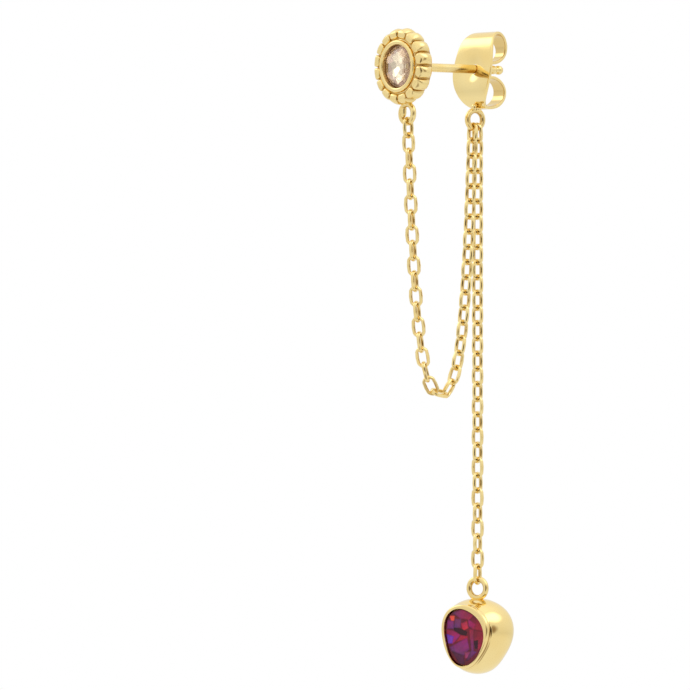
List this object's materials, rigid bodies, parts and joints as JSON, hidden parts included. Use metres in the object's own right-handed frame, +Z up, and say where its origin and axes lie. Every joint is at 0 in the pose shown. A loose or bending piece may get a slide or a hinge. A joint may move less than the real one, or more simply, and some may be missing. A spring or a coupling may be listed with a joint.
{
  "type": "chain drop stud earring",
  "caption": "Gold-plated stud earring with a beaded round setting, post and butterfly clutch, a chain looped from stud to clutch and a long chain with a pebble-shaped pendant.",
  "frame": {"origin": "on the post's axis, in the middle of the stretch of post that passes through the ear lobe", "axes": "+Z up, -Y the front of the ear that the crystal faces, +Y behind the ear, +X to the right as the front is seen"},
  "size_m": [0.0068, 0.0129, 0.0585],
  "materials": {
    "gold": "polished pale yellow gold plating",
    "crystal": "faceted champagne crystal on foil",
    "stone": "glossy crimson and violet shard mosaic"
  },
  "bodies": {
    "stud_and_chains": {"stud_setting": "gold", "stud_crystal": "crystal", "clutch": "gold", "front_chain_1": "gold", "front_chain_2": "gold", "front_chain_3": "gold", "front_chain_4": "gold", "front_chain_5": "gold", "front_chain_6": "gold", "front_chain_7": "gold", "front_chain_8": "gold", "front_chain_9": "gold", "drop_chain_1": "gold", "drop_chain_2": "gold", "drop_chain_3": "gold", "drop_chain_4": "gold", "drop_chain_5": "gold", "drop_chain_6": "gold"},
    "pendant": {"pendant_setting": "gold", "pendant_stone": "stone"}
  },
  "joints": [
    {"name": "pendant_swing", "type": "hinge", "parent": "stud_and_chains", "child": "pendant", "pos_m": [-0.00024, 0.00431, -0.04653], "axis": [0.9455, 0.3256, 0], "range_deg": [-75, 75]}
  ]
}
